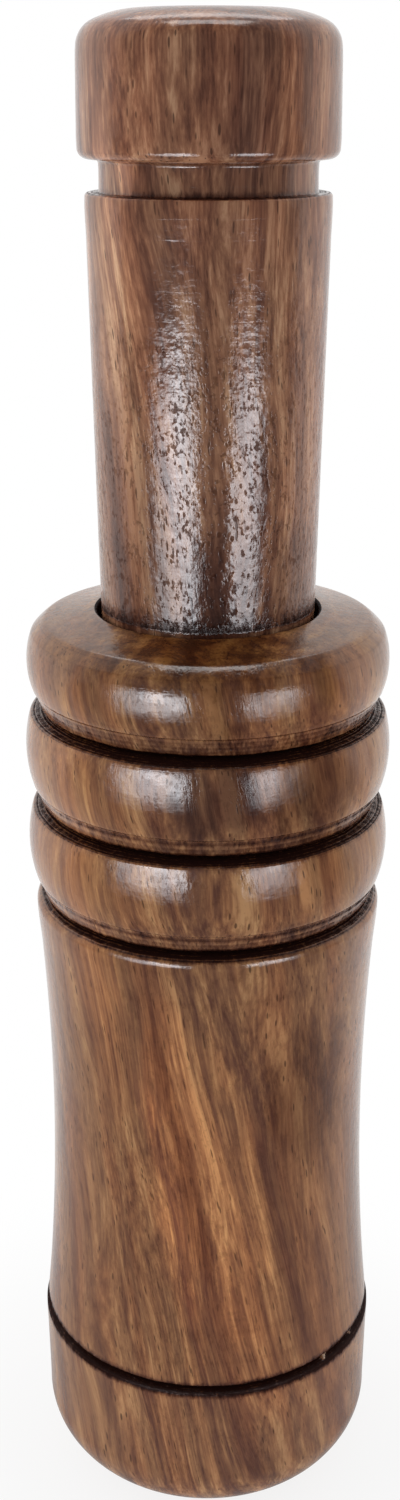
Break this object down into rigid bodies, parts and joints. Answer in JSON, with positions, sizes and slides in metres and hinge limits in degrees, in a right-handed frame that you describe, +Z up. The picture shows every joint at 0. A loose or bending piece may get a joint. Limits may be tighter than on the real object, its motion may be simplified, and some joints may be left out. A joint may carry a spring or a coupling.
{
  "type": "bird call",
  "caption": "Turned hardwood bird call: waisted barrel with beads and burnt grooves, and a tapered stopper with a lanyard groove that carries reeds on a tone board.",
  "frame": {"origin": "middle of the mouth end, on the surface that the call stands on", "axes": "+Z up along the bore from the mouth to the open end of the stopper, with the reeds facing -Y"},
  "size_m": [0.0354, 0.0354, 0.1481],
  "materials": {
    "barrel_wood": "gloss lacquer over open-pored dark hardwood",
    "stopper_wood": "gloss lacquer over open-pored dark hardwood",
    "board_plastic": "moulded, satin",
    "reed_film": "frosted film",
    "cork": "cut cork",
    "seal_rubber": "matt rubber"
  },
  "bodies": {
    "barrel": {"barrel": "barrel_wood"},
    "seals": {"upper_o_ring": "seal_rubber", "lower_o_ring": "seal_rubber"},
    "stopper": {"stopper": "stopper_wood", "tone_board": "board_plastic", "cork_wedge": "cork"},
    "lower_reed": {"lower_reed": "reed_film"},
    "upper_reed": {"upper_reed": "reed_film"}
  },
  "joints": [
    {"name": "stopper_pull", "type": "slide", "parent": "barrel", "child": "seals", "axis": [0, 0, 1], "range_m": [0, 0.072]},
    {"name": "stopper_turn", "type": "hinge", "parent": "seals", "child": "stopper", "pos_m": [0, 0, 0.0839], "axis": [0, 0, 1], "continuous": true},
    {"name": "lower_reed_flex", "type": "hinge", "parent": "stopper", "child": "lower_reed", "pos_m": [0, -0.0028, 0.0646], "axis": [1, 0, 0], "range_deg": [-1, 1.6], "stiffness_Nm_per_rad": 0.016, "deforming": ["lower_reed"]},
    {"name": "upper_reed_flex", "type": "hinge", "parent": "stopper", "child": "upper_reed", "pos_m": [0, -0.00313, 0.0646], "axis": [1, 0, 0], "range_deg": [-1, 1.6], "stiffness_Nm_per_rad": 0.0054, "deforming": ["upper_reed"]}
  ],
  "couplings": [
    {"joint": "upper_reed_flex", "follows": "lower_reed_flex", "ratio": 1}
  ]
}
